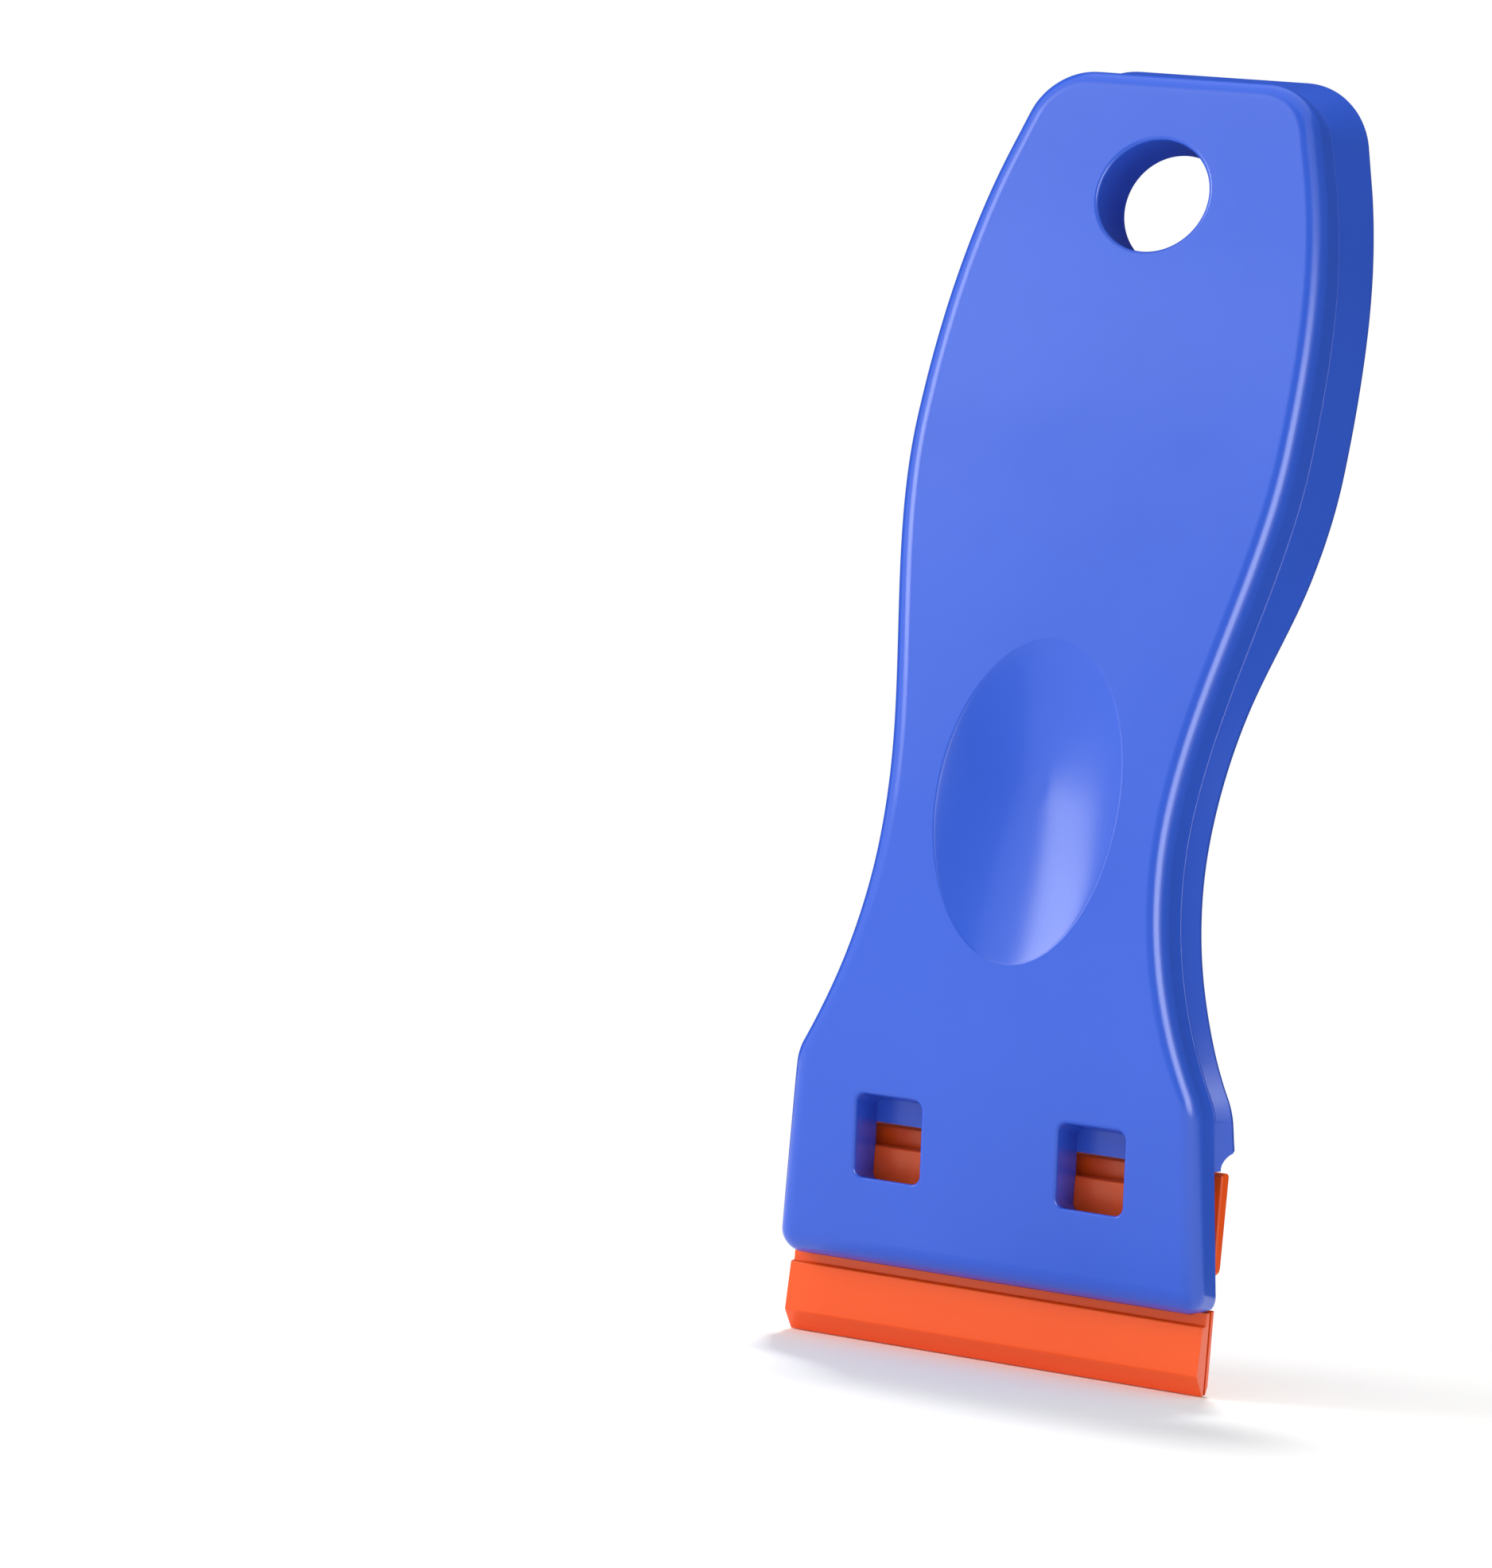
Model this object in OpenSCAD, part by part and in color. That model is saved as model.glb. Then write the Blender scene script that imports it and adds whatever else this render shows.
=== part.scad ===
// Razor blade scraper: two-shell handle and a folding blade clip with a locking lever.
// Millimetres. Z runs up the tool, the front faces -Y, and the origin is the middle of the
// hanging hole. The modules draw in tool coordinates, where z is zero at the lip of the head
// and y is zero at the foremost line of the front face, and in_tool() moves them to the origin.

/* [Handle] */
// Length of the handle from the lip of the head to the top edge
body_l = 125.2; // [110:0.1:140]
// Width of the head at the lip
head_w = 47; // [46.5:0.1:48.5]
// Height of the shoulder where the head starts to narrow
head_h = 20.2; // [18.5:0.1:23]
// Width of the head at the shoulder
shoulder_w = 44.4; // [42.5:0.1:45]
// Width of the waist
waist_w = 31.8; // [28:0.1:36]
// Height of the waist
waist_h = 45.5; // [42:0.1:49]
// Width of the grip
grip_w = 42.2; // [37:0.1:46]
// Height of the widest place of the grip
grip_h = 86.4; // [82:0.1:92]
// Width at the crown, where the top corners begin
crown_w = 34.6; // [31:0.1:37]
// Height of the crown
crown_h = 116.4; // [114:0.1:118]
// How far the front face falls back from its foremost line to the lip
arch_rise = 9.12; // [8:0.01:10]
// Slope of the head's front face, as depth over height
head_slope = 0.325; // [0.25:0.005:0.38]
// Radius of the top corners
top_corner_r = 7; // [5:0.1:9]
// Radius of the shoulder corners
shoulder_r = 6; // [3:0.1:9]
// Radius of the lip's corners
lip_corner_r = 2.1; // [2:0.1:3]
// Radius of the front edge all round
front_edge_r = 2; // [1.2:0.1:2.1]
// Depth of the front shell, which is the head plate's thickness
plate_t = 5.3; // [5:0.1:6]
// Greatest depth of the whole handle, at the grip
grip_t = 15.2; // [14:0.1:16.5]
// Depth of the handle just above the finger notch
notch_t = 9.8; // [9.6:0.1:11]
// Radius of the back edge all round
back_edge_r = 3; // [2:0.1:3.4]
// How far the back swells outside the outline of the front
back_flare = 1.2; // [0.4:0.1:1.6]
// How much higher the top edge stands at the back than at the front
top_rise = 1.5; // [0:0.1:2.5]
// Depth of the groove along the joint of the two shells
crease_d = 0.3; // [0.15:0.05:0.4]

/* [Hanging hole] */
// Radius of the hanging hole
hole_r = 6; // [4.5:0.1:6.2]
// Height of the hanging hole above the lip
hole_h = 112; // [108:0.1:113]
// Depth of the hole's wall, from the front face to the dished back
hole_wall_l = 7.6; // [7:0.1:9]
// Radius of the round recess that the hole opens into at the back
hole_recess_r = 10.4; // [9.8:0.1:11]

/* [Thumb dish] */
// Width of the dish
dish_w = 19.6; // [16:0.1:22]
// Height of the dish
dish_l = 33; // [28:0.1:36]
// Depth of the dish at its middle
dish_d = 2.6; // [1.8:0.1:2.8]
// Height of the dish's middle above the lip
dish_h = 48; // [46:0.1:50]

/* [Windows] */
// Width of each window
window_w = 7.2; // [6:0.1:8]
// Height of each window
window_l = 8.3; // [7:0.1:8.6]
// Distance of each window's middle from the tool's middle
window_x = 11.15; // [10.5:0.1:13]
// Height of the windows' lower edge above the lip
window_h = 8.4; // [8:0.1:9]
// Radius of the windows' corners
window_r = 0.9; // [0.5:0.1:1.5]

/* [Head] */
// Width of the side rails, which leave the blade's width and its clearance between them
rail_w = 1.9; // [1.65:0.05:2.1]
// How far the side rails stand behind the head plate
rail_d = 0.8; // [0.6:0.05:1]
// Height of the finger notch's ceiling, along the head plate
notch_h = 15.2; // [14.9:0.1:15.6]
// Radius of the finger notch's hollow
notch_r = 1.8; // [1.4:0.1:2.1]

/* [Blade clip] */
// Tilt of the clip from the vertical, in degrees
clip_tilt = 12; // [11:0.1:13]
// Depth from the foremost line to the front of the clip's stem at the lip
clip_y = 13.09; // [13:0.01:13.3]
// How far the jaw's ends stand inside the head's sides
jaw_inset = 0.6; // [0.4:0.05:1]
// How far the jaw's face stands in front of the stem
jaw_proud = 0.78; // [0.5:0.01:0.9]
// How much further forward the foot of the jaw's face stands
jaw_swell = 0.6; // [0.3:0.05:0.8]
// Distance from the lip down to the jaw's top edge
jaw_gap = 0.9; // [0.8:0.05:1.3]
// Height of the jaw's flat face
jaw_face_l = 5; // [4:0.1:6]
// Height of the bevel below the face
bevel_l = 2.25; // [1.8:0.05:2.6]
// Thickness of the front leaf
front_leaf_t = 0.85; // [0.7:0.05:0.95]
// Thickness of the rear leaf
rear_leaf_t = 0.65; // [0.55:0.05:0.75]
// Height of the front leaf above the lip
leaf_h = 12.2; // [12:0.05:12.3]
// Clearance between the clip's stem and what holds it
clip_gap = 0.1; // [0.05:0.01:0.15]

/* [Blade] */
// Height of the blade that the clip takes
blade_l = 19; // [18:0.1:19.5]
// Gap between the leaves, for the blade's thickness
blade_gap = 0.45; // [0.35:0.05:0.6]
// How far the blade's edge stands out of the jaw
blade_out = 2.4; // [2:0.1:3.5]
// Width of the lug that fills the blade's middle slot
lug_w = 2; // [1.6:0.1:2.4]
// Height of the lug that fills the blade's middle slot
lug_l = 5.6; // [4.5:0.1:6]
// Height of the lugs that fill the blade's end notches
end_lug_l = 2.8; // [2.2:0.1:3]
// Width of the lugs that fill the blade's end notches
end_lug_w = 4; // [3:0.1:4.6]

/* [Lever] */
// How far the lever's ends stand inside the head's sides
lever_inset = 1; // [0.85:0.05:1.2]
// Thickness of the lever at its hinge
lever_t = 1.6; // [1.5:0.05:1.9]
// Thickness of the lever at its free end
lever_tip_t = 1.9; // [1.6:0.05:2.4]
// Height of the lever's free end above the lip
lever_h = 14.1; // [13.9:0.05:14.4]
// Height of the lever's hinge above the lip
pivot_h = 4.6; // [4.2:0.1:5.2]
// Radius of the hinge pins moulded on the lever
pin_r = 0.5; // [0.4:0.01:0.6]
// Clearance of the hinge pins in their ears
pin_gap = 0.05; // [0.03:0.01:0.08]
// Thickness of the hinge ears on the rear leaf
ear_t = 1.8; // [1.4:0.1:2.2]
// Width of the latch tongue on the lever
tongue_w = 6; // [4:0.1:8]
// How far the latch tongue reaches into the head plate
tongue_in = 0.9; // [0.6:0.05:1.1]

/* [Hidden] */

overrun = 1;
blue = [0.25, 0.38, 0.85];
orange = [0.93, 0.32, 0.12];

// Steps of the outline along each stretch of the side
corner_steps = 8;
shoulder_steps = 3;
head_steps = 3;
side_steps = 9;
// Angles across the rounded front and back edges
edge_angles = [0, 22.5, 45, 67.5, 90];

// Front face: heights as shares of the body's length, depths as shares of the arch's rise
head_top_share = 0.1362;
arch_shares = [[0.18, 0.242], [0.235, 0.125], [0.3, 0.04], [0.384, 0], [0.51, 0.082],
    [0.68, 0.345], [0.85, 0.67], [1, 0.9]];
// Handle's depth above the head: heights as shares of the body's length, and shares of the
// way from the depth at the notch to the depth at the grip
depth_shares = [[0.115, 0.15], [0.17, 0], [0.24, 0.08], [0.36, 0.1], [0.48, 0.16],
    [0.6, 0.75], [0.8, 0.84], [0.95, 1]];

// Shell walls and ribs
skin_t = 2.2;
wall_t = 2.4;
rib_t = 1.6;
bay_rows = 8;
front_bays = [0, 5, 6, 7];
spigot_rows = [1, 5, 7];
spigot_r = 1.6;
spigot_gap = 0.05;
spigot_l = 3;
boss_gap = 0.5;
rail_inset = 0.6;
nose_flat = 0.35;
leaf_root = 0.15;
rear_bevel_l = 0.9;
neck_h = 0.4;
fold_cap = 1.3;
tongue_l = 1.1;
ear_wall = 0.5;
ear_side_gap = 0.15;
lever_chamfer = 0.35;
nudge_share = 0.001;
peg_r = 1;
peg_l = 1.2;
peg_h = 3.4;
peg_inset = 4;

// Value of a cubic through [place, value] pairs
function pair_at(pairs, s, i = 0) =
    (i >= len(pairs) - 2 || s < pairs[i + 1][0]) ? i : pair_at(pairs, s, i + 1);
function rate_at(pairs, i) =
    let (a = pairs[max(i - 1, 0)], b = pairs[min(i + 1, len(pairs) - 1)])
    (b[1] - a[1]) / (b[0] - a[0]);
function hermite(a, b, ra, rb, s) =
    let (h = b[0] - a[0], t = (s - a[0]) / h)
    (1 + 2 * t) * pow(1 - t, 2) * a[1] + t * pow(1 - t, 2) * h * ra
        + t * t * (3 - 2 * t) * b[1] - t * t * (1 - t) * h * rb;
function through(pairs, s) =
    let (i = pair_at(pairs, s))
    hermite(pairs[i], pairs[i + 1], rate_at(pairs, i), rate_at(pairs, i + 1), s);

// Depth of the front face at height z: straight over the head, then arched
head_top = head_top_share * body_l;
arch_pairs = concat([[0, arch_rise], [head_top, arch_rise - head_slope * head_top]],
    [for (p = arch_shares) [p[0] * body_l, p[1] * arch_rise]]);
function arch_rate(i) = (i == 1) ? -head_slope : rate_at(arch_pairs, i);
function face_y(z) =
    (z <= head_top) ? arch_rise - head_slope * z :
    let (i = pair_at(arch_pairs, z))
    hermite(arch_pairs[i], arch_pairs[i + 1], arch_rate(i), arch_rate(i + 1), z);

// Depth of the whole handle at height z
depth_pairs = [for (p = depth_shares) [p[0] * body_l, notch_t + p[1] * (grip_t - notch_t)]];
function depth_at(z) = through(depth_pairs, min(max(z, depth_pairs[0][0]), depth_pairs[len(depth_pairs) - 1][0]));

// Side outline, from the lip to the top edge: each point is [x, z, normal angle in degrees]
lip_r = lip_corner_r;
head_rate = (shoulder_w - head_w) / 2 / head_h;
shoulder_rate = -0.5;
crown_rate = -0.31;
head_a = atan(-head_rate);
shoulder_a = atan(-shoulder_rate);
crown_a = atan(-crown_rate);
shoulder_cut = shoulder_r * tan((shoulder_a - head_a) / 2);
shoulder_in = [shoulder_w / 2 + shoulder_cut * sin(head_a), head_h - shoulder_cut * cos(head_a)];
shoulder_out = [shoulder_w / 2 - shoulder_cut * sin(shoulder_a), head_h + shoulder_cut * cos(shoulder_a)];
shoulder_c = shoulder_in - shoulder_r * [cos(head_a), sin(head_a)];
lip_c = [head_w / 2 + head_rate * lip_r - lip_r / cos(head_a), lip_r];
top_z = body_l - top_corner_r;
top_c = [crown_w / 2 + crown_rate * (top_z - crown_h) - top_corner_r / cos(crown_a), top_z];

function arc(c, r, a, b, steps) =
    [for (i = [0:steps]) let (t = a + (b - a) * i / steps) [c[0] + r * cos(t), c[1] + r * sin(t), t]];
function stretch(a, b, ra, rb, steps) =
    [for (i = [1:steps - 1])
        let (z = a[0] + (b[0] - a[0]) * i / steps, dz = (b[0] - a[0]) * nudge_share,
            x = hermite(a, b, ra, rb, z), rate = (hermite(a, b, ra, rb, z + dz) - x) / dz)
        [x, z, atan(-rate)]];

out_side = [shoulder_out[1], shoulder_out[0]];
waist = [waist_h, waist_w / 2];
grip = [grip_h, grip_w / 2];
crown = [crown_h, crown_w / 2];
side = concat(
    arc(lip_c, lip_r, -90, head_a, corner_steps),
    [for (i = [1:head_steps])
        let (z = lip_r + (shoulder_in[1] - lip_r) * i / (head_steps + 1))
        [head_w / 2 + head_rate * z, z, head_a]],
    arc(shoulder_c, shoulder_r, head_a, shoulder_a, shoulder_steps),
    stretch(out_side, waist, shoulder_rate, 0, side_steps), [[waist[1], waist[0], 0]],
    stretch(waist, grip, 0, 0, side_steps), [[grip[1], grip[0], 0]],
    stretch(grip, crown, 0, crown_rate, side_steps), [[crown[1], crown[0], crown_a]],
    arc(top_c, top_corner_r, crown_a, 90, corner_steps));

// Loop of points around the outline moved in by e, each at the depth that f gives for its height,
// and drawn up by as much as rise towards the top edge
function loop(e, f, rise = 0) =
    let (n = len(side), right = [for (p = side)
            let (z = p[1] - e * sin(p[2]), t = max(0, (z - grip_h) / (body_l - grip_h)))
            [p[0] - e * cos(p[2]), f(z), z + rise * t * t]])
    concat(right, [for (i = [n - 1:-1:0]) [-right[i][0], right[i][1], right[i][2]]]);

// Closed skin through loops, from the front one to the back one
module skin(loops) {
    n = len(loops[0]);
    m = len(loops);
    walls = [for (j = [0:m - 2], i = [0:n - 1])
        let (a = j * n + i, b = j * n + (i + 1) % n)
        [a, b, b + n, a + n]];
    front = [for (i = [0:n / 2 - 2]) [i, n - 1 - i, n - 2 - i, i + 1]];
    back = [for (i = [0:n / 2 - 2])
        let (o = (m - 1) * n)
        [o + i + 1, o + n - 2 - i, o + n - 1 - i, o + i]];
    polyhedron(points = [for (l = loops, p = l) p], faces = concat(walls, front, back), convexity = 6);
}

// Half of the side's width at height z
function side_x(z, i = 0) =
    (i >= len(side) - 2 || z < side[i + 1][1]) ?
        side[i][0] + (side[i + 1][0] - side[i][0]) * (z - side[i][1]) / (side[i + 1][1] - side[i][1]) :
        side_x(z, i + 1);

hole_y = face_y(hole_h) + hole_wall_l / 2;
module in_tool() {
    translate([0, -hole_y, -hole_h]) children();
}

// Head coordinates: y is depth square to the head plate's face, z is height along it
head_tilt = atan(head_slope);
module in_head() {
    translate([0, face_y(0), 0]) rotate([head_tilt, 0, 0]) children();
}
plate_v = plate_t * cos(head_tilt);
rail_v = (plate_t + rail_d) * cos(head_tilt);

// Clip coordinates: y is depth from the front of the clip's stem, z is height above the lip
module in_clip() {
    translate([0, clip_y, 0]) rotate([clip_tilt, 0, 0]) children();
}
slot_y = front_leaf_t + blade_gap;
stack_y = slot_y + rear_leaf_t;
inner_x = head_w / 2 - rail_w;
blade_w = 2 * (inner_x - clip_gap);
jaw_w = head_w - 2 * jaw_inset;
lever_w = head_w - 2 * lever_inset;
peg_x = blade_w / 2 - peg_inset;
nose_h = -jaw_gap - jaw_face_l - bevel_l;
fold_y = slot_y + rear_leaf_t / 2;
fold_h = leaf_h - fold_cap;
lever_y = stack_y + 2 * clip_gap;
ear_x = blade_w / 2 - ear_t / 2 - ear_side_gap;
pivot_y = lever_y + lever_t / 2;
blade_h = nose_h - blade_out + blade_l / 2;
tongue_h = leaf_h + 3 * clip_gap;

// Flat shape in depth and height, drawn out along X
module along_x(w) {
    rotate([90, 0, 90]) linear_extrude(height = w, center = true) children();
}

// Round bar along X
module bar_x(r, w, y, z) {
    translate([-w / 2, y, z]) rotate([0, 90, 0]) cylinder(r = r, h = w, $fn = 32);
}

// Round bar or bore along Y
module bar_y(r, l, x, y, z) {
    translate([x, y, z]) rotate([-90, 0, 0]) cylinder(r = r, h = l, $fn = 64);
}

// Bays between the ribs: rows of boxes on both sides of the middle rib
bay_low = notch_h + wall_t + notch_r;
bay_high = hole_h - hole_recess_r - rib_t;
bay_pitch = (bay_high - bay_low) / bay_rows;
bay_l = bay_pitch - rib_t;
function bay_z(i) = bay_low + i * bay_pitch;
function bay_w(i) = min(side_x(bay_z(i)), side_x(bay_z(i) + bay_l)) - wall_t - rib_t / 2;
module bay(i, low, high) {
    for (s = [-1, 1])
        translate([s > 0 ? rib_t / 2 : -rib_t / 2 - bay_w(i), low, bay_z(i)])
            cube([bay_w(i), high - low, bay_l]);
}
function rib_z(i) = bay_z(i) - rib_t / 2;

module hanging_hole() {
    bar_y(hole_r, body_l, 0, -body_l / 2, hole_h);
}

module window(x) {
    inner_w = window_w - 2 * window_r;
    inner_l = window_l - 2 * window_r;
    translate([x, 0, window_h + window_l / 2]) rotate([90, 0, 0])
        linear_extrude(height = body_l, center = true) {
            square([window_w, inner_l], center = true);
            square([inner_w, window_l], center = true);
            for (i = [-1, 1], j = [-1, 1])
                translate([i * inner_w / 2, j * inner_l / 2]) circle(r = window_r, $fn = 24);
        }
}

// Shallow ellipsoid that cuts the thumb dish out of the arched face
module thumb_dish() {
    fall = (face_y(dish_h + dish_l / 2) + face_y(dish_h - dish_l / 2)) / 2 - face_y(dish_h);
    reach = 2 * dish_d;
    half_w = dish_w / 2 / sqrt(1 - pow(dish_d / reach, 2));
    half_l = dish_l / 2 / sqrt(1 - pow((dish_d + fall) / reach, 2));
    translate([0, face_y(dish_h) - dish_d, dish_h])
        scale([half_w, reach, half_l]) sphere(r = 1, $fn = 48);
}

// Underside of the head, square to the plate from the end of the rounded front edge
module lip_trim() {
    in_head() translate([-head_w, front_edge_r * cos(head_tilt), -front_edge_r * sin(head_tilt) - head_h])
        cube([2 * head_w, 2 * head_h, head_h]);
}

module rails() {
    low = [side_x(lip_r) - rail_inset, 0];
    high = [side_x(head_h) - rail_inset, head_h / cos(head_tilt)];
    in_head() difference() {
        for (s = [0, 1]) mirror([s, 0, 0])
            translate([0, rail_v, 0]) rotate([90, 0, 0]) linear_extrude(height = 2 * (rail_v - plate_v))
                polygon([[inner_x, -lip_r], [low[0], -lip_r], low, high, [inner_x, high[1]]]);
        translate([-head_w, 0, notch_h - notch_r]) cube([2 * head_w, head_h, head_h]);
    }
}

// Room for the clip's stem behind the plate, between the rails
module clip_pocket() {
    in_clip() {
        translate([-inner_x, -clip_gap, -head_h])
            cube([2 * inner_x, head_h, head_h + leaf_h + clip_gap]);
        for (s = [-1, 1]) bar_y(peg_r + pin_gap, peg_l + clip_gap + overrun, s * peg_x, -peg_l - clip_gap, peg_h);
    }
}

// Room for the lever's latch tongue, with space to swing out
module tongue_slot() {
    room = 3 * clip_gap;
    in_clip() translate([-tongue_w / 2 - room, -tongue_in - room, tongue_h - room])
        cube([tongue_w + 2 * room, head_h, tongue_l + 3 * room]);
}

module front_shell() {
    parting = function (z) face_y(z) + plate_t;
    color(blue) in_tool() difference() {
        union() {
            difference() {
                skin(concat(
                    [for (a = edge_angles)
                        loop(front_edge_r * (1 - sin(a)), function (z) face_y(z) + front_edge_r * (1 - cos(a)))],
                    [loop(0, function (z) face_y(z) + plate_t - crease_d), loop(crease_d, parting)]));
                for (i = front_bays)
                    bay(i, max(face_y(bay_z(i)), face_y(bay_z(i) + bay_l)) + skin_t, parting(bay_z(i)) + overrun);
            }
            rails();
            for (i = spigot_rows) {
                y = face_y(rib_z(i)) + skin_t;
                bar_y(spigot_r + rib_t, plate_t - skin_t - boss_gap, 0, y, rib_z(i));
                bar_y(spigot_r, plate_t - skin_t + spigot_l, 0, y, rib_z(i));
            }
        }
        lip_trim();
        hanging_hole();
        for (s = [-1, 1]) window(s * window_x);
        thumb_dish();
        clip_pocket();
        tongue_slot();
    }
}

module back_shell() {
    parting = function (z) face_y(z) + plate_t;
    rear = function (z) face_y(z) + depth_at(z);
    color(blue) in_tool() difference() {
        skin(concat(
            [loop(crease_d, parting), loop(0, function (z) parting(z) + crease_d)],
            [for (a = edge_angles)
                loop(back_edge_r * (1 - cos(a)) - back_flare,
                    function (z) rear(z) - back_edge_r * (1 - sin(a)), top_rise)]));
        in_head() {
            translate([-head_w, -overrun, -head_h]) cube([2 * head_w, body_l, head_h + notch_h - notch_r]);
            translate([-head_w, rail_v + notch_r, 0]) cube([2 * head_w, body_l, notch_h]);
            bar_x(notch_r, 2 * head_w, rail_v + notch_r, notch_h - notch_r);
        }
        difference() {
            for (i = [0:bay_rows - 1])
                bay(i, parting(bay_z(i)) - plate_t, min(rear(bay_z(i)), rear(bay_z(i) + bay_l)) - skin_t);
            for (i = spigot_rows)
                bar_y(spigot_r + rib_t, grip_t, 0, parting(rib_z(i)) + boss_gap, rib_z(i));
        }
        for (i = spigot_rows)
            bar_y(spigot_r + spigot_gap, spigot_l + 2 * boss_gap, 0, parting(rib_z(i)) - boss_gap, rib_z(i));
        hanging_hole();
        bar_y(hole_recess_r, grip_t, 0, face_y(hole_h) + hole_wall_l, hole_h);
        tongue_slot();
    }
}

module clip_front_leaf() {
    jaw_low = -jaw_gap - jaw_face_l;
    color(orange) in_tool() in_clip() {
        difference() {
            union() {
                along_x(blade_w) polygon([[0, 0], [front_leaf_t, 0], [front_leaf_t, fold_h], [stack_y, fold_h],
                    [stack_y, leaf_h], [0, leaf_h]]);
                along_x(jaw_w) polygon([[0, neck_h], [front_leaf_t, neck_h], [front_leaf_t, nose_h],
                    [front_leaf_t - nose_flat, nose_h], [-jaw_proud - jaw_swell, jaw_low],
                    [-jaw_proud, -jaw_gap], [0, -jaw_gap]]);
            }
            bar_x(rear_leaf_t / 2 + pin_gap, 2 * head_w, fold_y, fold_h);
        }
        lug_y = front_leaf_t / 2;
        lug_t = front_leaf_t / 2 + blade_gap - clip_gap;
        lug_gap = lug_l - lug_w;
        for (z = [-1, 1]) bar_y(lug_w / 2, lug_t, 0, lug_y, blade_h + z * lug_gap / 2);
        translate([-lug_w / 2, lug_y, blade_h - lug_gap / 2]) cube([lug_w, lug_t, lug_gap]);
        for (s = [-1, 1]) {
            translate([s * (blade_w - end_lug_w) / 2 - end_lug_w / 2, lug_y, blade_h - end_lug_l / 2])
                cube([end_lug_w, lug_t, end_lug_l]);
            bar_y(peg_r, peg_l + front_leaf_t / 2, s * peg_x, -peg_l, peg_h);
        }
    }
}

module clip_rear_leaf() {
    ear_r = pin_r + pin_gap + ear_wall;
    color(orange) in_tool() in_clip() difference() {
        union() {
            along_x(blade_w) polygon([[slot_y, 0], [stack_y, 0], [stack_y, fold_h], [slot_y, fold_h]]);
            bar_x(rear_leaf_t / 2, blade_w, fold_y, fold_h);
            along_x(jaw_w) polygon([[slot_y, neck_h], [stack_y, neck_h], [stack_y, nose_h + rear_bevel_l],
                [slot_y + leaf_root, nose_h], [slot_y, nose_h]]);
            for (s = [-1, 1]) translate([s * ear_x, 0, 0]) {
                bar_x(ear_r, ear_t, pivot_y, pivot_h);
                along_x(ear_t) polygon([[slot_y + leaf_root, pivot_h - ear_r], [pivot_y, pivot_h - ear_r],
                    [pivot_y, pivot_h + ear_r], [slot_y + leaf_root, pivot_h + ear_r]]);
            }
        }
        bar_x(pin_r + pin_gap, 2 * head_w, pivot_y, pivot_h);
    }
}

module locking_lever() {
    ear_room = pin_r + pin_gap + ear_wall + clip_gap;
    back_y = lever_y + lever_tip_t;
    color(orange) in_tool() in_clip() {
        difference() {
            union() {
                bar_x(lever_t / 2, lever_w, pivot_y, pivot_h);
                along_x(lever_w) polygon([[lever_y, pivot_h], [pivot_y + lever_t / 2, pivot_h],
                    [back_y, lever_h - lever_chamfer], [back_y - lever_chamfer, lever_h], [lever_y, lever_h]]);
            }
            for (s = [-1, 1]) translate([s * ear_x, 0, 0]) {
                bar_x(ear_room, ear_t + 2 * ear_side_gap, pivot_y, pivot_h);
                along_x(ear_t + 2 * ear_side_gap)
                    polygon([[0, pivot_h - ear_room], [pivot_y, pivot_h - ear_room],
                        [pivot_y, pivot_h + ear_room], [0, pivot_h + ear_room]]);
            }
        }
        bar_x(pin_r, 2 * ear_x + ear_t + 2 * ear_side_gap + pin_r, pivot_y, pivot_h);
        along_x(tongue_w) polygon([[lever_y + clip_gap, tongue_h], [-tongue_in, tongue_h],
            [-tongue_in, tongue_h + tongue_l / 2], [-tongue_in + tongue_l / 2, tongue_h + tongue_l],
            [lever_y + clip_gap, tongue_h + tongue_l]]);
    }
}

front_shell();
back_shell();
clip_front_leaf();
clip_rear_leaf();
locking_lever();
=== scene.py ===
import math

import bmesh
import bpy
from mathutils import Matrix, Vector


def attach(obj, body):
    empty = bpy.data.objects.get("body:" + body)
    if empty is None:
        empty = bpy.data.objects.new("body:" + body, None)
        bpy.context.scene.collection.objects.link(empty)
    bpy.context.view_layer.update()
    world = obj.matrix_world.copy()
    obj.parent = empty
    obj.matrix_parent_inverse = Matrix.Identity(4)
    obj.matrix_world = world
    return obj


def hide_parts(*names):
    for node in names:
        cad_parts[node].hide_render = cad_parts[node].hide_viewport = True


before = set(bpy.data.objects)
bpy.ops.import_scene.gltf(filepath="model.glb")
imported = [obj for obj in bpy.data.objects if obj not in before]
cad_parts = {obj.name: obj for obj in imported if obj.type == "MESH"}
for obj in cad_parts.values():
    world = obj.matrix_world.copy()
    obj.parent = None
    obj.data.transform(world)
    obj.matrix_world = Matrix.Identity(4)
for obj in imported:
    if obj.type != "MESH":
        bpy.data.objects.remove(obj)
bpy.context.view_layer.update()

# Sizes are in millimetres in tool coordinates: z is zero at the lip of the head and y is zero at
# the foremost line of the front face. The row frame has the middle of the hanging hole at zero.
MM = 0.001

# Outline, arch and depth of the handle
BODY_L = 125.2
HEAD_W, HEAD_H, SHOULDER_W = 47.0, 20.2, 44.4
WAIST_W, WAIST_H = 31.8, 45.5
GRIP_W, GRIP_H = 42.2, 86.4
CROWN_W, CROWN_H = 34.6, 116.4
SHOULDER_RATE, CROWN_RATE = -0.5, -0.31
TOP_CORNER_R, SHOULDER_R, LIP_R = 7.0, 6.0, 2.1
ARCH_RISE, HEAD_SLOPE, HEAD_TOP_SHARE = 9.12, 0.325, 0.1362
ARCH_SHARES = [(0.18, 0.242), (0.235, 0.125), (0.3, 0.04), (0.384, 0), (0.51, 0.082), (0.68, 0.345),
               (0.85, 0.67), (1, 0.9)]
NOTCH_T, GRIP_T = 9.8, 15.2
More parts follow.
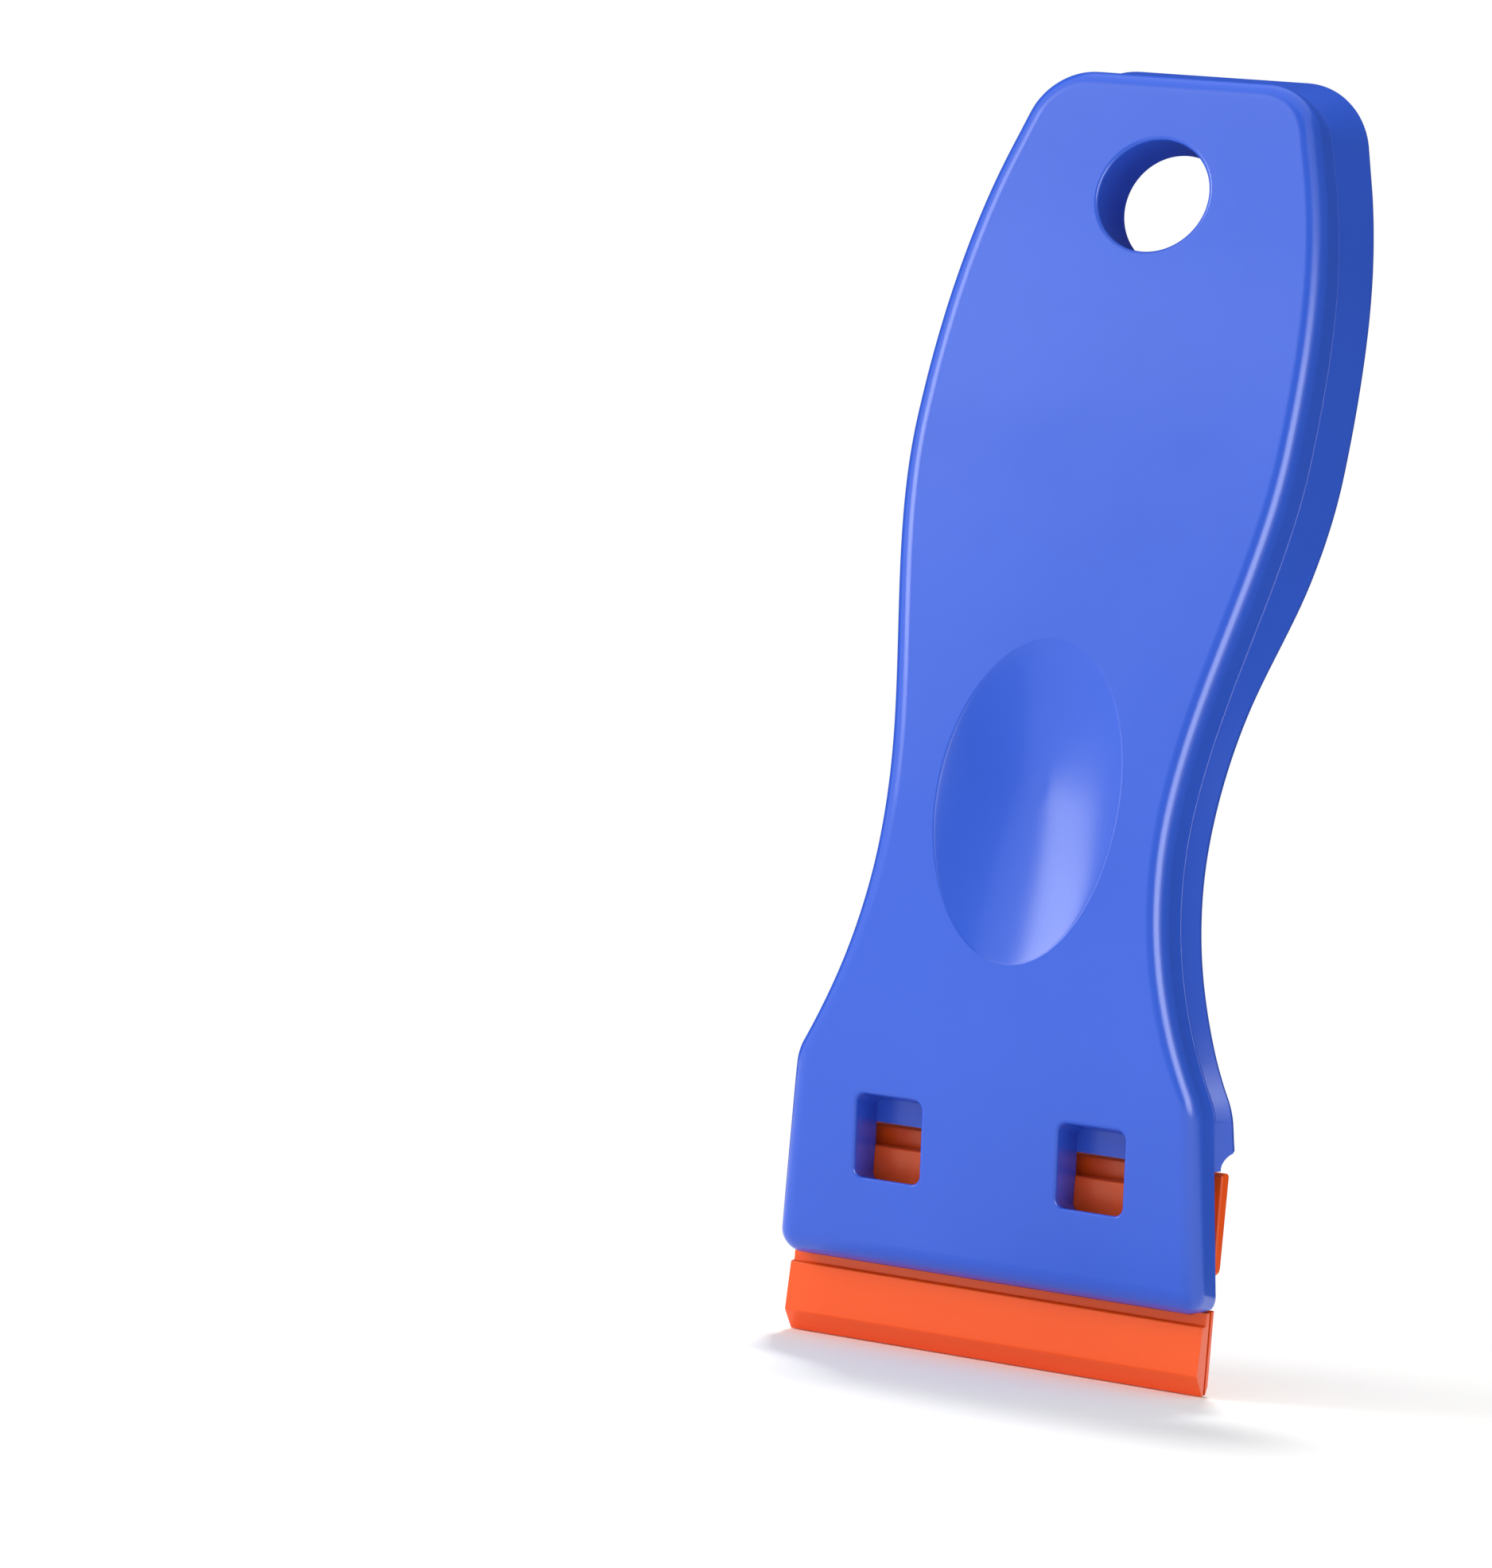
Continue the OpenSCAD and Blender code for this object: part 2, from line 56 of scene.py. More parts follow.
DEPTH_SHARES = [(0.115, 0.15), (0.17, 0), (0.24, 0.08), (0.36, 0.1), (0.48, 0.16),
                (0.6, 0.75), (0.8, 0.84), (0.95, 1)]
PLATE_T, FRONT_EDGE_R, BACK_EDGE_R, BACK_FLARE, TOP_RISE = 5.3, 2.0, 3.0, 1.2, 1.5
SEAM_R = 0.3

# Hanging hole, thumb dish, windows, side rails and finger notch
HOLE_R, HOLE_H, HOLE_WALL_L, HOLE_RECESS_R = 6.0, 112.0, 7.6, 10.4
DISH_W, DISH_L, DISH_D, DISH_H, DISH_LIFT = 19.6, 33.0, 2.6, 48.0, 2.0
DISH_RIM_R, DISH_SLOPE = 0.45, math.radians(34)
# At a share s of the dish's radius, the bowl has (1 - s ** INNER) ** OUTER of its depth
BOWL_INNER_POWER, BOWL_OUTER_POWER = 1.7, 0.95
WINDOW_W, WINDOW_L, WINDOW_X, WINDOW_H, WINDOW_R = 7.2, 8.3, 11.15, 8.4, 0.9
RIM_R, SHARP_RIM_R = 0.4, 0.0001
RAIL_D, RAIL_INSET, RAIL_T, RAIL_SHORT, RAIL_EDGE_R, RAIL_END_R = 0.8, 0.6, 3.0, 0.8, 0.3, 0.2
NOTCH_H, NOTCH_R = 15.2, 1.8

# Blade clip and lever
CLIP_TILT, CLIP_Y, CLIP_GAP = math.radians(12), 13.09, 0.1
JAW_W, JAW_PROUD, JAW_SWELL, JAW_GAP, JAW_FACE_L, BEVEL_L = 45.8, 0.78, 0.6, 0.9, 5.0, 2.25
FRONT_LEAF_T, REAR_LEAF_T, LEAF_H, BLADE_GAP, BLADE_W = 0.85, 0.65, 12.2, 0.45, 43.0
NOSE_FLAT, LEAF_ROOT, REAR_BEVEL_L, NECK_H, FOLD_CAP = 0.35, 0.15, 0.9, 0.4, 1.3
LEVER_W, LEVER_T, LEVER_TIP_T, LEVER_H, PIVOT_H = 45.0, 1.6, 1.9, 14.1, 4.6
PIN_R, PIN_GAP, EAR_T, EAR_WALL, EAR_SIDE_GAP = 0.5, 0.05, 1.8, 0.5, 0.15
TONGUE_W, TONGUE_IN, TONGUE_L = 6.0, 0.9, 1.1

# Corner radii of the clip's profiles. The last two are shares of the radius that would close an end.
NOSE_R, JAW_EDGE_R, JAW_TOP_R, JAW_ROOT_R, REAR_BEVEL_R = 0.07, 0.35, 0.22, 0.12, 0.2
LEAF_BACK_R, LEAF_FRONT_R, FOLD_R = 0.2, 0.25, 0.1
LEVER_BACK_R, LEVER_FRONT_R, TONGUE_R, TONGUE_TIP_R = 0.45, 0.25, 0.05, 0.1
EAR_ROUND, LEVER_ROUND = 0.98, 0.99

# Radii by which the left and right ends of the clip's bars are rounded
LEAF_END_R, REAR_LEAF_END_R, JAW_END_R = 0.12, 0.08, 0.06
EAR_END_R, LEVER_END_R, TONGUE_END_R = 0.12, 0.22, 0.04

# Steps by which the meshes follow their curves
LIP_STEPS, HEAD_STEPS, SHOULDER_STEPS, SIDE_STEPS, TOP_STEPS = 16, 12, 12, 36, 20
EDGE_STEPS, BACK_STEPS, SEAM_STEPS, RIM_STEPS, CORNER_STEPS, END_STEPS = 9, 12, 4, 5, 5, 3
HOLE_STEPS, WINDOW_STEPS, PIN_STEPS, NOTCH_STEPS = 96, 6, 40, 72
DISH_TURNS, DISH_RIM_STEPS, BOWL_STEPS = 120, 4, 22

# Cutters: how far they start in front of what they cut, how far they reach and how a rim flares out
CUT_LEAD, RIM_LEAD, RIM_FLARE = 1.0, 1.5, 1.02
FRONT_CUT, BACK_CUT, REACH, PAST = 20.0, 40.0, 60.0, 3.0

# Share of a curve over which its slope is taken, and the least divisor of a mitred corner's inset
SLOPE_SHARE, MITRE_MIN = 0.001, 0.5
# Points closer than this, in metres, are one point
WELD_M = 1e-7
# Edges above this angle stay sharp, and normals follow the large faces by this weight
SHARP_ANGLE, FACE_WEIGHT = math.radians(32), 100

# Derived places
HEAD_TOP = HEAD_TOP_SHARE * BODY_L
HEAD_TILT = math.atan(HEAD_SLOPE)
ARCH = [(0, ARCH_RISE), (HEAD_TOP, ARCH_RISE - HEAD_SLOPE * HEAD_TOP)]
ARCH += [(s * BODY_L, r * ARCH_RISE) for s, r in ARCH_SHARES]
DEPTHS = [(s * BODY_L, NOTCH_T + d * (GRIP_T - NOTCH_T)) for s, d in DEPTH_SHARES]
RAIL_Y = (PLATE_T + RAIL_D) * math.cos(HEAD_TILT)
INNER_X = BLADE_W / 2 + CLIP_GAP
SLOT_Y = FRONT_LEAF_T + BLADE_GAP
STACK_Y = SLOT_Y + REAR_LEAF_T
LEVER_Y = STACK_Y + 2 * CLIP_GAP
PIVOT_Y = LEVER_Y + LEVER_T / 2
FOLD_H = LEAF_H - FOLD_CAP
JAW_LOW = -JAW_GAP - JAW_FACE_L
NOSE_H = JAW_LOW - BEVEL_L
TONGUE_ROOM = 3 * CLIP_GAP
TONGUE_H = LEAF_H + TONGUE_ROOM
EAR_R = PIN_R + PIN_GAP + EAR_WALL
EAR_X = BLADE_W / 2 - EAR_T / 2 - EAR_SIDE_GAP


# Curves of the handle

def quarter(steps):
    """Angles from 0 to 90 degrees."""
    return [math.pi / 2 * i / steps for i in range(steps + 1)]


def full_turn(steps):
    """Angles from 0 up to, but not with, 360 degrees."""
    return [2 * math.pi * i / steps for i in range(steps)]


def hermite(a, b, ra, rb, s):
    """Value at s of the cubic through a and b that has the rates ra and rb there."""
    h = b[0] - a[0]
    t = (s - a[0]) / h
    return ((1 + 2 * t) * (1 - t) ** 2 * a[1] + t * (1 - t) ** 2 * h * ra
            + t * t * (3 - 2 * t) * b[1] - t * t * (1 - t) * h * rb)


def pair_at(pairs, s):
    """Number of the stretch between two pairs that holds s."""
    i = 0
    while i < len(pairs) - 2 and s >= pairs[i + 1][0]:
        i += 1
    return i


def rate_at(pairs, i):
    """Rate at a pair, taken between its neighbours."""
    a, b = pairs[max(i - 1, 0)], pairs[min(i + 1, len(pairs) - 1)]
    return (b[1] - a[1]) / (b[0] - a[0])


def face_y(z):
    """Depth of the front face at height z: straight over the head, then arched."""
    if z <= HEAD_TOP:
        return ARCH_RISE - HEAD_SLOPE * z
    i = pair_at(ARCH, z)
    ra = -HEAD_SLOPE if i == 1 else rate_at(ARCH, i)
    return hermite(ARCH[i], ARCH[i + 1], ra, rate_at(ARCH, i + 1), z)


def depth_at(z):
    """Depth of the whole handle at height z."""
    z = min(max(z, DEPTHS[0][0]), DEPTHS[-1][0])
    i = pair_at(DEPTHS, z)
    return hermite(DEPTHS[i], DEPTHS[i + 1], rate_at(DEPTHS, i), rate_at(DEPTHS, i + 1), z)


def outline():
    """The right side from the lip to the top edge, as (x, z, angle of the outward normal)."""
    head_rate = (SHOULDER_W - HEAD_W) / 2 / HEAD_H
    head_a, shoulder_a, crown_a = math.atan(-head_rate), math.atan(-SHOULDER_RATE), math.atan(-CROWN_RATE)
    trim = SHOULDER_R * math.tan((shoulder_a - head_a) / 2)
    into = (SHOULDER_W / 2 + trim * math.sin(head_a), HEAD_H - trim * math.cos(head_a))
    out = (SHOULDER_W / 2 - trim * math.sin(shoulder_a), HEAD_H + trim * math.cos(shoulder_a))
    shoulder_c = (into[0] - SHOULDER_R * math.cos(head_a), into[1] - SHOULDER_R * math.sin(head_a))
    lip_c = (HEAD_W / 2 + head_rate * LIP_R - LIP_R / math.cos(head_a), LIP_R)
    top_z = BODY_L - TOP_CORNER_R
    top_x = CROWN_W / 2 + CROWN_RATE * (top_z - CROWN_H) - TOP_CORNER_R / math.cos(crown_a)
    points = []

    def arc(c, r, a, b, steps):
        for i in range(steps + 1):
            t = a + (b - a) * i / steps
            points.append((c[0] + r * math.cos(t), c[1] + r * math.sin(t), t))

    def stretch(a, b, ra, rb):
        nudge = (b[0] - a[0]) * SLOPE_SHARE
        for i in range(1, SIDE_STEPS):
            z = a[0] + (b[0] - a[0]) * i / SIDE_STEPS
            x = hermite(a, b, ra, rb, z)
            points.append((x, z, math.atan((x - hermite(a, b, ra, rb, z + nudge)) / nudge)))

    arc(lip_c, LIP_R, -math.pi / 2, head_a, LIP_STEPS)
    for i in range(1, HEAD_STEPS + 1):
        z = LIP_R + (into[1] - LIP_R) * i / (HEAD_STEPS + 1)
        points.append((HEAD_W / 2 + head_rate * z, z, head_a))
    arc(shoulder_c, SHOULDER_R, head_a, shoulder_a, SHOULDER_STEPS)
    waist, grip, crown = (WAIST_H, WAIST_W / 2), (GRIP_H, GRIP_W / 2), (CROWN_H, CROWN_W / 2)
    stretch((out[1], out[0]), waist, SHOULDER_RATE, 0)
    points.append((waist[1], waist[0], 0.0))
    stretch(waist, grip, 0, 0)
    points.append((grip[1], grip[0], 0.0))
    stretch(grip, crown, 0, CROWN_RATE)
    arc((top_x, top_z), TOP_CORNER_R, crown_a, math.pi / 2, TOP_STEPS)
    return points


SIDE = outline()


def side_x(z):
    """Half the handle's width at height z."""
    for a, b in zip(SIDE, SIDE[1:]):
        if a[1] <= z < b[1]:
            return a[0] + (b[0] - a[0]) * (z - a[1]) / (b[1] - a[1])
    return SIDE[-1][0]


def ring(inset, depth, rise=0.0):
    """Closed loop around the outline moved in by inset, at depth(z), drawn up towards the top edge."""
    right = []
    for x, z, a in SIDE:
        z -= inset * math.sin(a)
        t = max(0.0, (z - GRIP_H) / (BODY_L - GRIP_H))
        right.append((x - inset * math.cos(a), depth(z), z + rise * t * t))
    return right + [(-x, y, z) for x, y, z in reversed(right)]


def behind_face(inset, down):
    """Loop around the outline at an even depth behind the front face."""
    return ring(inset, lambda z: face_y(z) + down)


# Frames: tool coordinates, the head's plate and the tilted clip

HOLE_Y = face_y(HOLE_H) + HOLE_WALL_L / 2


def tool(p):
    """Point in the row frame, in metres."""
    return Vector((p[0], p[1] - HOLE_Y, p[2] - HOLE_H)) * MM


def tilted(p, origin_y, tilt):
    c, s = math.cos(tilt), math.sin(tilt)
    return tool((p[0], origin_y + p[1] * c - p[2] * s, p[1] * s + p[2] * c))


def in_head(p):
    return tilted(p, face_y(0), HEAD_TILT)


def in_clip(p):
    return tilted(p, CLIP_Y, CLIP_TILT)


# Mesh helpers

def linked(name, mesh):
    obj = bpy.data.objects.new(name, mesh)
    bpy.context.scene.collection.objects.link(obj)
    return obj


def mesh_object(name, verts, faces):
    mesh = bpy.data.meshes.new(name)
    mesh.from_pydata([tuple(v) for v in verts], [], faces)
    mesh.validate()
    bm = bmesh.new()
    bm.from_mesh(mesh)
    bmesh.ops.remove_doubles(bm, verts=bm.verts, dist=WELD_M)
    bmesh.ops.recalc_face_normals(bm, faces=bm.faces)
    bm.to_mesh(mesh)
    bm.free()
    return linked(name, mesh)


def skin(name, rings, place=tool, strips=False):
    """Closed skin through rings of equal length. Its caps are strips across, or one face each."""
    n, m = len(rings[0]), len(rings)
    verts = [place(p) for r in rings for p in r]
    faces = [(j * n + i, j * n + (i + 1) % n, (j + 1) * n + (i + 1) % n, (j + 1) * n + i)
             for j in range(m - 1) for i in range(n)]
    for o in (0, (m - 1) * n):
        if strips:
            faces += [(o + i, o + n - 1 - i, o + n - 2 - i, o + i + 1) for i in range(n // 2 - 1)]
        else:
            faces.append(tuple(range(o, o + n)))
    return mesh_object(name, verts, faces)


def block(low, high, place):
    corners = [(x, y, z) for x in (low[0], high[0]) for y in (low[1], high[1]) for z in (low[2], high[2])]
    faces = [(0, 1, 3, 2), (4, 6, 7, 5), (0, 4, 5, 1), (2, 3, 7, 6), (0, 2, 6, 4), (1, 5, 7, 3)]
    return mesh_object("block", [place(c) for c in corners], faces)


def cut(obj, other, operation="DIFFERENCE"):
    """Boolean of an object with another one, which it uses up."""
    step = obj.modifiers.new("cut", "BOOLEAN")
    step.object, step.operation, step.solver = other, operation, "EXACT"
    made = bpy.data.meshes.new_from_object(obj.evaluated_get(bpy.context.evaluated_depsgraph_get()))
    obj.modifiers.clear()
    obj.data = made
    bpy.data.objects.remove(other)


def rim_cutter(curve, rim_r, reach):
    """Cutter through the front face with a rounded rim. The curve lists (x, z, outward x, outward z)."""
    def at(out, down):
        return [(x + nx * out, face_y(z + nz * out) + down, z + nz * out) for x, z, nx, nz in curve]
    rings = [at(rim_r * RIM_FLARE, -RIM_LEAD)]
    rings += [at(rim_r * (1 - math.sin(a)), rim_r * (1 - math.cos(a))) for a in quarter(RIM_STEPS)]
    rings.append(at(0, reach))
    return skin("rim", rings)


def rounded_square(x, z, w, l, r):
    points = []
    for i, (sx, sz) in enumerate([(1, 1), (-1, 1), (-1, -1), (1, -1)]):
        for j in range(WINDOW_STEPS + 1):
            a = math.pi / 2 * (i + j / WINDOW_STEPS)
            nx, nz = math.cos(a), math.sin(a)
            points.append((x + sx * (w / 2 - r) + nx * r, z + sz * (l / 2 - r) + nz * r, nx, nz))
    return points


def hole_circle(r):
    """Circle about the hanging hole's middle."""
    return [(r * math.cos(a), HOLE_H + r * math.sin(a), math.cos(a), math.sin(a))
            for a in full_turn(HOLE_STEPS)]


def profile_with_arcs(corners):
    """Closed outline in depth and height from (y, z, radius) corners."""
    points = []
    n = len(corners)
    for i in range(n):
        p = Vector(corners[i][:2])
        r = corners[i][2]
        a = (Vector(corners[i - 1][:2]) - p).normalized()
        b = (Vector(corners[(i + 1) % n][:2]) - p).normalized()
        half = a.angle(b) / 2
        if r == 0:
            points.append((p.x, p.y))
            continue
        c = p + (a + b).normalized() * (r / math.sin(half))
        start, end = p + a * (r / math.tan(half)) - c, p + b * (r / math.tan(half)) - c
        sweep = math.atan2(start.x * end.y - start.y * end.x, start.dot(end))
        for j in range(CORNER_STEPS + 1):
            t = sweep * j / CORNER_STEPS
            points.append((c.x + start.x * math.cos(t) - start.y * math.sin(t),
                           c.y + start.x * math.sin(t) + start.y * math.cos(t)))
    return points


def inset_profile(points, e):
    """Closed outline moved inwards by e."""
    n = len(points)
    area = sum(points[i - 1][0] * points[i][1] - points[i][0] * points[i - 1][1] for i in range(n))
    side = 1 if area > 0 else -1
    moved = []
    for i, p in enumerate(points):
        a = (Vector(p) - Vector(points[i - 1])).normalized()
        b = (Vector(points[(i + 1) % n]) - Vector(p)).normalized()
        inward = Vector((-a.y - b.y, a.x + b.x)) * side
        inward = inward.normalized() / max(MITRE_MIN, math.sqrt((1 + a.dot(b)) / 2))
        moved.append((p[0] + inward.x * e, p[1] + inward.y * e))
    return moved


def bar(name, corners, width, end_r, place=in_clip, x=0.0):
    """Profile of (y, z, radius) corners drawn out along X, with rounded ends."""
    base = profile_with_arcs(corners)
    rings = []
    for side in (-1, 1):
        for a in quarter(END_STEPS)[::side]:
            at = side * (width / 2 - end_r * (1 - math.sin(a)))
            rings.append([(x + at, y, z) for y, z in inset_profile(base, end_r * (1 - math.cos(a)))])
    return skin(name, rings, place)


def pipe(r, width, y, z, x=0.0, place=in_clip, steps=PIN_STEPS):
    """Round bar along X."""
    rings = [[(x + side * width / 2, y + r * math.cos(a), z + r * math.sin(a)) for a in full_turn(steps)]
             for side in (-1, 1)]
    return skin("pipe", rings, place)


def smooth(obj):
    """Smooth shading with sharp edges, its normals led by the large faces."""
    obj.data.shade_smooth()
    obj.data.set_sharp_from_angle(angle=SHARP_ANGLE)
    step = obj.modifiers.new("normals", "WEIGHTED_NORMAL")
    step.keep_sharp = True
    step.weight = FACE_WEIGHT
    return obj


def join(name, parts):
    """One object from several closed meshes."""
    bm = bmesh.new()
    for p in parts:
        bm.from_mesh(p.data)
        bpy.data.objects.remove(p)
    mesh = bpy.data.meshes.new(name)
    bm.to_mesh(mesh)
    bm.free()
    return linked(name, mesh)


# Handle

def thumb_dish():
    """Cutter for the dish: rings that shrink inwards as the bowl deepens, with a rounded rim."""
    def at(share, down, grow=0.0):
        middle = DISH_H + DISH_LIFT * (1 - share)
        places = [((DISH_W / 2 * share + grow) * math.cos(a),
                   middle + (DISH_L / 2 * share + grow) * math.sin(a)) for a in full_turn(DISH_TURNS)]
        return [(x, face_y(z) + down, z) for x, z in places]
    rings = [at(1, -RIM_LEAD, DISH_RIM_R)]
    for i in range(DISH_RIM_STEPS + 1):
        a = DISH_SLOPE * i / DISH_RIM_STEPS
        grow = DISH_RIM_R * (math.sin(DISH_SLOPE) - math.sin(a))
        rings.append(at(1, DISH_RIM_R * (1 - math.cos(a)), grow))
    rim_d = DISH_RIM_R * (1 - math.cos(DISH_SLOPE))
    for i in range(1, BOWL_STEPS):
        s = math.cos(math.pi / 2 * i / BOWL_STEPS)
        deep = (1 - s ** BOWL_INNER_POWER) ** BOWL_OUTER_POWER
        rings.append(at(s, rim_d + (DISH_D - rim_d) * deep))
    return skin("dish", rings)


def lip_trim():
    """Block that squares off the lip behind the front edge's round."""
    low = -FRONT_EDGE_R * math.sin(HEAD_TILT)
    return block((-HEAD_W, FRONT_EDGE_R * math.cos(HEAD_TILT), low - HEAD_H),
                 (HEAD_W, 2 * HEAD_H, low), in_head)


def pocket():
    """Room for the clip's front leaf and everything behind it."""
    return block((-INNER_X, -CLIP_GAP, -HEAD_H), (INNER_X, HEAD_H, LEAF_H + CLIP_GAP), in_clip)


def tongue_slot():
    return block((-TONGUE_W / 2 - TONGUE_ROOM, -TONGUE_IN - TONGUE_ROOM, TONGUE_H - TONGUE_ROOM),
                 (TONGUE_W / 2 + TONGUE_ROOM, HEAD_H, TONGUE_H + TONGUE_L + 2 * TONGUE_ROOM), in_clip)


def rail(side):
    """Side rail behind the head plate, with its lower back edge and its sides rounded."""
    x0, x1 = side * INNER_X, side * (side_x(HEAD_H / 2) - RAIL_INSET)
    low, high = min(x0, x1), max(x0, x1)
    inner_y, top = RAIL_Y - RAIL_T, NOTCH_H - RAIL_SHORT
    corners = [(inner_y, -LIP_R, 0), (RAIL_Y, -LIP_R, RAIL_EDGE_R), (RAIL_Y, top, 0), (inner_y, top, 0)]
    return bar("rail", corners, high - low, RAIL_END_R, in_head, (low + high) / 2)


def front_shell():
    edge = [(FRONT_EDGE_R * (1 - math.sin(a)), FRONT_EDGE_R * (1 - math.cos(a))) for a in quarter(EDGE_STEPS)]
    seam = [(SEAM_R * (1 - math.cos(a)), PLATE_T - SEAM_R * (1 - math.sin(a))) for a in quarter(SEAM_STEPS)]
    shell = skin("front_shell_skin", [behind_face(e, d) for e, d in edge + seam], strips=True)
    for side in (-1, 1):
        cut(shell, rail(side), "UNION")
    cut(shell, lip_trim())
    cut(shell, pocket())
    cut(shell, tongue_slot())
    cut(shell, rim_cutter(hole_circle(HOLE_R), RIM_R, FRONT_CUT))
    for side in (-1, 1):
        curve = rounded_square(side * WINDOW_X, WINDOW_H + WINDOW_L / 2, WINDOW_W, WINDOW_L, WINDOW_R)
        cut(shell, rim_cutter(curve, RIM_R, FRONT_CUT))
    cut(shell, thumb_dish())
    return smooth(shell)


def back_shell():
    rings = [behind_face(SEAM_R * (1 - math.sin(a)), PLATE_T + SEAM_R * (1 - math.cos(a)))
             for a in quarter(SEAM_STEPS)]
    for a in quarter(BACK_STEPS):
        down = BACK_EDGE_R * (1 - math.sin(a))
        rings.append(ring(BACK_EDGE_R * (1 - math.cos(a)) - BACK_FLARE,
                          lambda z: face_y(z) + depth_at(z) - down, TOP_RISE))
    shell = skin("back_shell_skin", rings, strips=True)
    notch_y, notch_z = RAIL_Y + NOTCH_R, NOTCH_H - NOTCH_R
    cut(shell, block((-HEAD_W, -CUT_LEAD, -HEAD_H), (HEAD_W, REACH, notch_z), in_head))
    cut(shell, block((-HEAD_W, notch_y, 0), (HEAD_W, REACH, NOTCH_H), in_head))
    cut(shell, pipe(NOTCH_R, 2 * HEAD_W, notch_y, notch_z, 0, in_head, NOTCH_STEPS))
    cut(shell, rim_cutter(hole_circle(HOLE_R), SHARP_RIM_R, BACK_CUT))
    cut(shell, skin("recess", [[(x, y, z) for x, z, _, _ in hole_circle(HOLE_RECESS_R)]
                               for y in (face_y(HOLE_H) + HOLE_WALL_L, REACH)]))
    cut(shell, tongue_slot())
    return smooth(shell)


# Blade clip and lever

def clip_front_leaf():
    stem = bar("stem", [(0, 0, 0), (FRONT_LEAF_T, 0, 0), (FRONT_LEAF_T, FOLD_H, 0), (STACK_Y, FOLD_H, 0),
                        (STACK_Y, LEAF_H, LEAF_BACK_R), (0, LEAF_H, LEAF_FRONT_R)], BLADE_W, LEAF_END_R)
    jaw = bar("jaw", [(0, NECK_H, 0), (FRONT_LEAF_T, NECK_H, 0), (FRONT_LEAF_T, NOSE_H, NOSE_R),
                      (FRONT_LEAF_T - NOSE_FLAT, NOSE_H, NOSE_R),
                      (-JAW_PROUD - JAW_SWELL, JAW_LOW, JAW_EDGE_R),
                      (-JAW_PROUD, -JAW_GAP, JAW_TOP_R), (0, -JAW_GAP, JAW_ROOT_R)], JAW_W, JAW_END_R)
    return smooth(join("front_leaf_jaw", [stem, jaw]))


def clip_rear_leaf():
    root, tip, low, high = SLOT_Y + LEAF_ROOT, PIVOT_Y + EAR_R, PIVOT_H - EAR_R, PIVOT_H + EAR_R
    parts = [
        bar("stem", [(SLOT_Y, 0, 0), (STACK_Y, 0, 0), (STACK_Y, FOLD_H, FOLD_R), (SLOT_Y, FOLD_H, FOLD_R)],
            BLADE_W, REAR_LEAF_END_R),
        bar("jaw", [(SLOT_Y, NECK_H, 0), (STACK_Y, NECK_H, 0), (STACK_Y, NOSE_H + REAR_BEVEL_L, REAR_BEVEL_R),
                    (root, NOSE_H, NOSE_R), (SLOT_Y, NOSE_H, NOSE_R)], JAW_W, JAW_END_R),
    ]
    for side in (-1, 1):
        ear = bar("ear", [(root, low, 0), (tip, low, EAR_R * EAR_ROUND), (tip, high, EAR_R * EAR_ROUND),
                          (root, high, 0)], EAR_T, EAR_END_R, x=side * EAR_X)
        cut(ear, pipe(PIN_R + PIN_GAP, 2 * EAR_T, PIVOT_Y, PIVOT_H, side * EAR_X))
        parts.append(ear)
    return smooth(join("rear_leaf_ears", parts))


def locking_lever():
    half = LEVER_T / 2
    round_r = half * LEVER_ROUND
    lever = bar("lever", [(LEVER_Y, PIVOT_H - half, round_r), (PIVOT_Y + half, PIVOT_H - half, round_r),
                          (LEVER_Y + LEVER_TIP_T, LEVER_H, LEVER_BACK_R), (LEVER_Y, LEVER_H, LEVER_FRONT_R)],
                LEVER_W, LEVER_END_R)
    room_x, room_z = EAR_T / 2 + EAR_SIDE_GAP, EAR_R + CLIP_GAP
    for side in (-1, 1):
        x = side * EAR_X
        cut(lever, block((x - room_x, -CUT_LEAD, PIVOT_H - PAST),
                         (x + room_x, PIVOT_Y + PAST, PIVOT_H + room_z), in_clip))
    root_y, top = LEVER_Y + CLIP_GAP, TONGUE_H + TONGUE_L
    tongue = bar("tongue", [(root_y, TONGUE_H, 0), (-TONGUE_IN, TONGUE_H, TONGUE_R),
                            (-TONGUE_IN, TONGUE_H + TONGUE_L / 2, TONGUE_R),
                            (-TONGUE_IN + TONGUE_L / 2, top, TONGUE_TIP_R), (root_y, top, 0)],
                 TONGUE_W, TONGUE_END_R)
    pins = pipe(PIN_R, 2 * EAR_X + EAR_T + 2 * EAR_SIDE_GAP + PIN_R, PIVOT_Y, PIVOT_H)
    return smooth(join("lever_plate", [lever, tongue, pins]))


# Materials. A noise is (scale, detail, roughness), and a bump is (strength, depth in metres).
PLASTIC_CLOUDS, PLASTIC_STOPS = (38, 4, 0.55), (0.3, 0.7)
BLUES = [(0.028, 0.098, 0.60), (0.031, 0.107, 0.64)]
ORANGES = [(0.89, 0.086, 0.003), (0.93, 0.097, 0.004)]
# Roughness on both sides of about 0.27 left pale outlined specks in the denoised renders
GLOSS_NOISE, GLOSS_RANGE = (160, 5, 0.6), (0.22, 0.27)
WAVE_NOISE, WAVE_BUMP = (70, 2, 0.5), (0.25, 0.00012)
GRAIN_NOISE, GRAIN_BUMP = (2600, 3, 0.6), (0.06, 0.00002)
PLASTIC_IOR = 1.49
PAINT_CLOUDS, PAINT_STOPS, PAINT_ROUGHNESS, PAINT_SPECULAR = (6, 2, 0.5), (0, 1), 0.9, 0.1
FLOOR_BLUE_SHARE = 0.97
FLOOR_COLOURS = [(level, level, level * FLOOR_BLUE_SHARE) for level in (0.90, 0.94)]
SCREEN_COLOURS = [(level, level, level) for level in (0.01, 0.02)]


